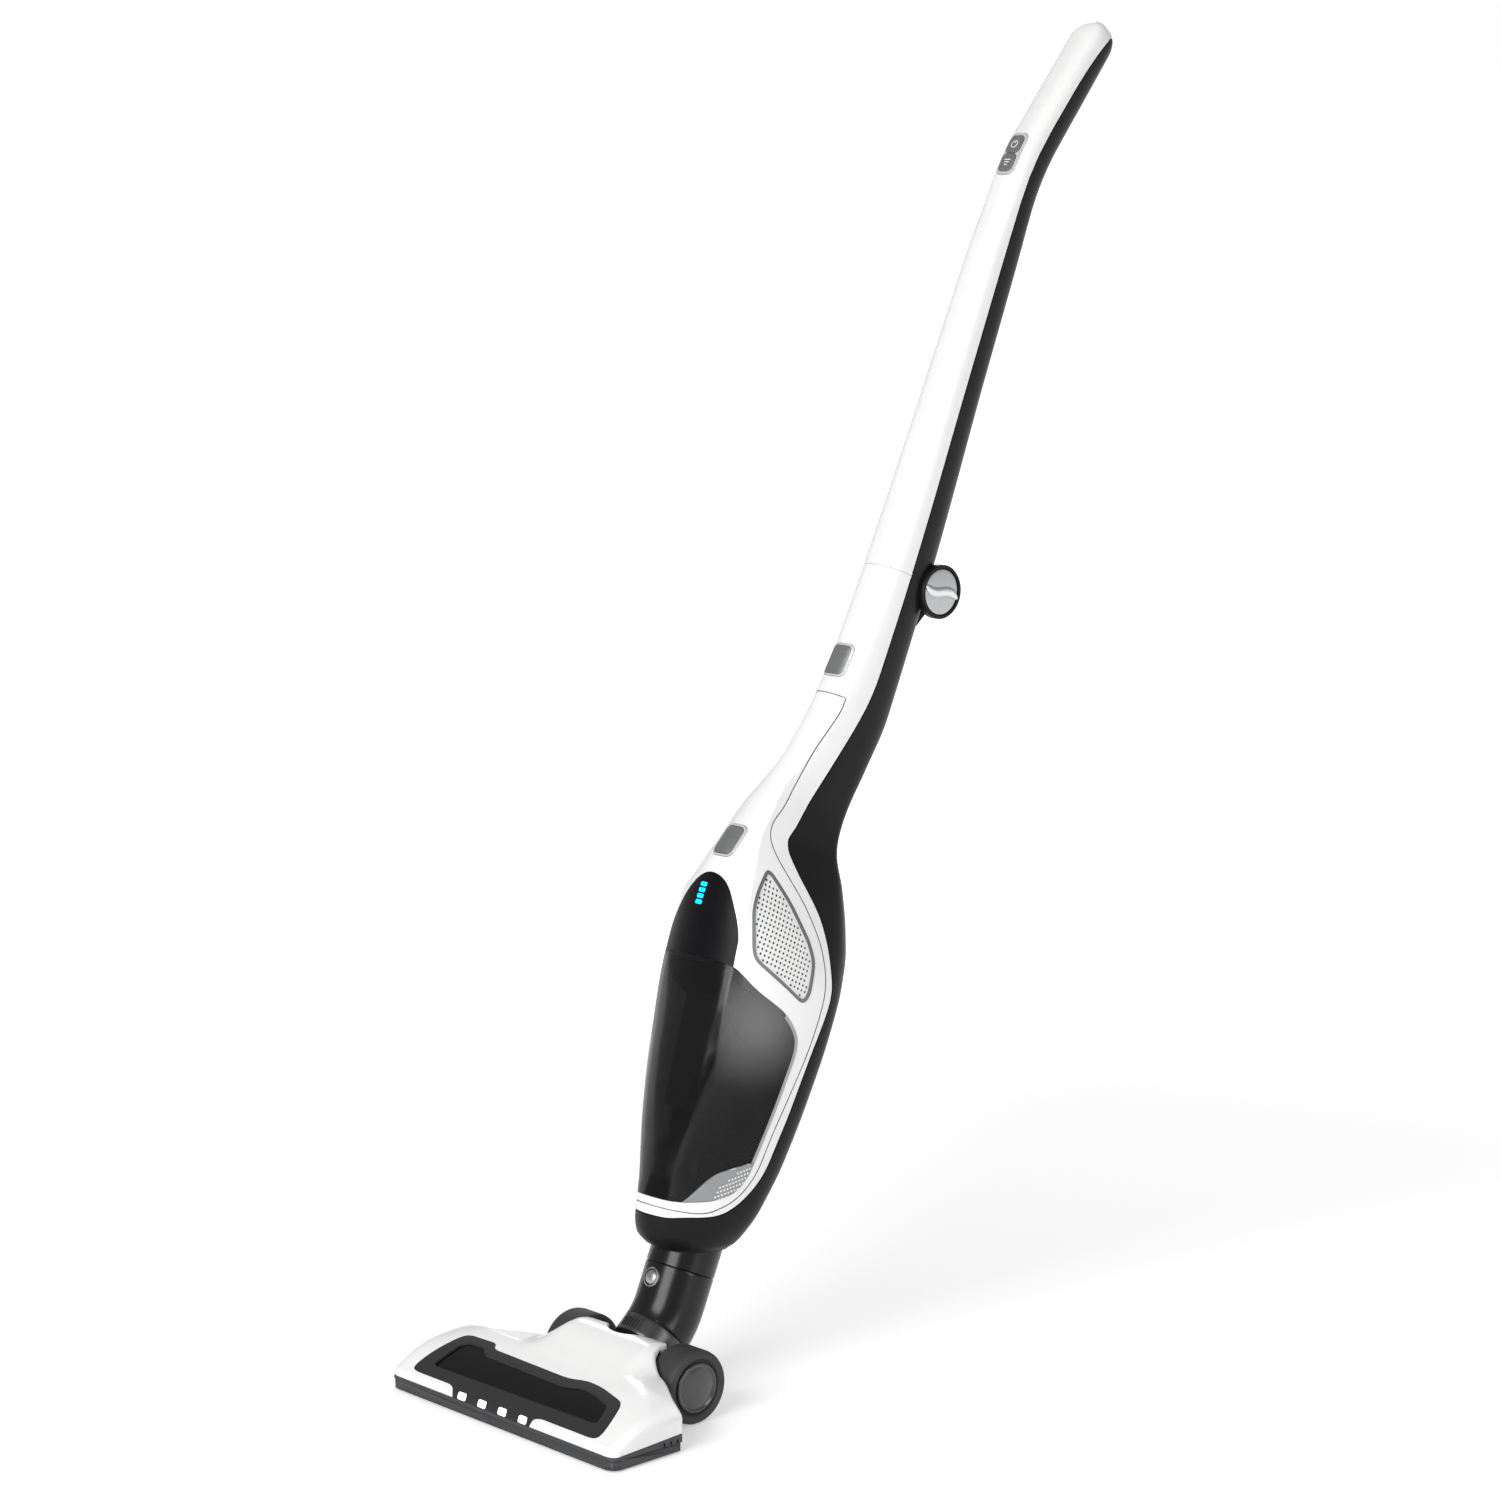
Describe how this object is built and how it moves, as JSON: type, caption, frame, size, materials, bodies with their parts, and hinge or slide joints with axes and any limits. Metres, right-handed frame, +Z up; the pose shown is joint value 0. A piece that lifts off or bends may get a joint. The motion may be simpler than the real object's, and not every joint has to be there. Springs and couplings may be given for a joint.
{
  "type": "cordless stick vacuum",
  "caption": "Upright cordless stick vacuum with a powered floor head, swivel neck, lift-out hand unit with dust cup and folding handle.",
  "frame": {"origin": "middle of the bounding box at floor level", "axes": "+Z up, front of the floor head towards -Y, stick leaning back towards +Y"},
  "size_m": [0.258, 0.6154, 1.0195],
  "materials": {
    "white_gloss": "gloss",
    "black_satin": "satin",
    "black_gloss": "gloss",
    "dark_base": "matte",
    "rubber": "matte",
    "smoke": "clear tint",
    "silver": "satin",
    "grey": "satin",
    "steel": "brushed",
    "lens": "lit",
    "blue": "lit",
    "bristle": "pile",
    "board": "matte",
    "cell": "satin",
    "belt": "matte",
    "paper": "matte"
  },
  "bodies": {
    "main_body": {"body_back_shell": "black_satin", "body_front_frame": "white_gloss", "neck_socket": "black_gloss"},
    "handle": {"handle_front_shell": "white_gloss", "handle_back_shell": "black_satin", "switch_plate": "silver"},
    "clamp": {"clamp_knob": "silver", "fold_bolt": "steel"},
    "handle_power": {"power_button": "silver"},
    "handle_mode": {"mode_button": "silver"},
    "unit_release": {"hand_unit_release_button": "silver"},
    "hand_unit": {"hand_unit_housing": "white_gloss", "display_cover": "black_gloss", "level_light_bar": "blue", "vent_frame_right": "grey", "vent_frame_left": "grey", "vent_grille_right": "white_gloss", "vent_grille_left": "white_gloss", "suction_motor": "steel", "battery_pack": "cell", "control_board": "board"},
    "unit_power": {"hand_unit_power_button": "silver"},
    "fan": {"suction_fan": "silver"},
    "dust_cup": {"dust_cup": "smoke", "cup_trim_right": "silver", "cup_trim_left": "silver", "cup_filter": "paper"},
    "elbow": {"elbow_tube": "black_gloss"},
    "neck_button": {"neck_release_button": "silver"},
    "knuckle": {"tilt_barrel": "dark_base", "swivel_collar": "black_gloss"},
    "head": {"head_top_shell": "white_gloss", "head_base": "dark_base", "brush_window": "smoke", "lamp_board": "board", "lamp_lens_1": "lens", "lamp_lens_2": "lens", "lamp_lens_3": "lens", "lamp_lens_4": "lens", "head_duct": "black_satin", "brush_bearing_left": "steel", "brush_bearing_right": "steel", "brush_motor": "steel", "drive_belt": "belt", "wheel_axle_left": "steel", "wheel_axle_right": "steel"},
    "brush": {"brush_roll": "bristle"},
    "motor_rotor": {"motor_pulley": "steel"},
    "wheel_left": {"wheel_left": "rubber", "wheel_cap_left": "black_gloss"},
    "wheel_right": {"wheel_right": "rubber", "wheel_cap_right": "black_gloss"},
    "roller_left": {"front_roller_left": "rubber"},
    "roller_right": {"front_roller_right": "rubber"}
  },
  "joints": [
    {"name": "handle_fold", "type": "hinge", "parent": "main_body", "child": "handle", "pos_m": [0.018, 0.10527, 0.58561], "axis": [-1, 0, 0], "range_deg": [0, 150]},
    {"name": "knob_turn", "type": "hinge", "parent": "main_body", "child": "clamp", "pos_m": [0.018, 0.10527, 0.58561], "axis": [1, 0, 0], "range_deg": [-90, 90]},
    {"name": "power_press", "type": "slide", "parent": "handle", "child": "handle_power", "axis": [0, 0.8387, -0.5445], "range_m": [0, 0.001], "stiffness_N_per_m": 400, "springref_m": -0.002},
    {"name": "mode_press", "type": "slide", "parent": "handle", "child": "handle_mode", "axis": [0, 0.8387, -0.5445], "range_m": [0, 0.001], "stiffness_N_per_m": 400, "springref_m": -0.002},
    {"name": "unit_release_press", "type": "slide", "parent": "main_body", "child": "unit_release", "axis": [0, 0.9178, -0.3971], "range_m": [0, 0.0012], "stiffness_N_per_m": 400, "springref_m": -0.002},
    {"name": "hand_unit_lift", "type": "slide", "parent": "main_body", "child": "hand_unit", "axis": [0, -0.9178, 0.3971], "range_m": [0, 0.13]},
    {"name": "unit_power_press", "type": "slide", "parent": "hand_unit", "child": "unit_power", "axis": [0, 0.9178, -0.3971], "range_m": [0, 0.001], "stiffness_N_per_m": 400, "springref_m": -0.002},
    {"name": "fan_spin", "type": "hinge", "parent": "hand_unit", "child": "fan", "pos_m": [0.018, -0.09478, 0.34039], "axis": [0, 0.3971, 0.9178], "continuous": true},
    {"name": "dust_cup_pull", "type": "slide", "parent": "hand_unit", "child": "dust_cup", "axis": [0, -0.9178, 0.3971], "range_m": [0, 0.13]},
    {"name": "head_detach", "type": "slide", "parent": "main_body", "child": "elbow", "axis": [0, -0.3971, -0.9178], "range_m": [0, 0.045]},
    {"name": "neck_release_press", "type": "slide", "parent": "elbow", "child": "neck_button", "axis": [0, 0.9178, -0.3971], "range_m": [0, 0.0015], "stiffness_N_per_m": 400, "springref_m": -0.002},
    {"name": "neck_swivel", "type": "hinge", "parent": "elbow", "child": "knuckle", "pos_m": [0.018, -0.19225, 0.028], "axis": [0, 0.7361, 0.6769], "range_deg": [-60, 60]},
    {"name": "head_tilt", "type": "hinge", "parent": "knuckle", "child": "head", "pos_m": [0.018, -0.19225, 0.028], "axis": [1, 0, 0], "range_deg": [-23.4, 36.6]},
    {"name": "wheel_left_roll", "type": "hinge", "parent": "head", "child": "wheel_left", "pos_m": [-0.0415, -0.19225, 0.028], "axis": [1, 0, 0], "continuous": true},
    {"name": "wheel_right_roll", "type": "hinge", "parent": "head", "child": "wheel_right", "pos_m": [0.0775, -0.19225, 0.028], "axis": [1, 0, 0], "continuous": true},
    {"name": "brush_spin", "type": "hinge", "parent": "head", "child": "brush", "pos_m": [0, -0.27775, 0.0145], "axis": [1, 0, 0], "continuous": true},
    {"name": "motor_spin", "type": "hinge", "parent": "head", "child": "motor_rotor", "pos_m": [-0.076, -0.25375, 0.022], "axis": [1, 0, 0], "continuous": true},
    {"name": "roller_left_roll", "type": "hinge", "parent": "head", "child": "roller_left", "pos_m": [-0.069, -0.25375, 0.0036], "axis": [1, 0, 0], "continuous": true},
    {"name": "roller_right_roll", "type": "hinge", "parent": "head", "child": "roller_right", "pos_m": [0.087, -0.25375, 0.0036], "axis": [1, 0, 0], "continuous": true}
  ],
  "couplings": [
    {"joint": "motor_spin", "follows": "brush_spin", "ratio": 1.625}
  ]
}
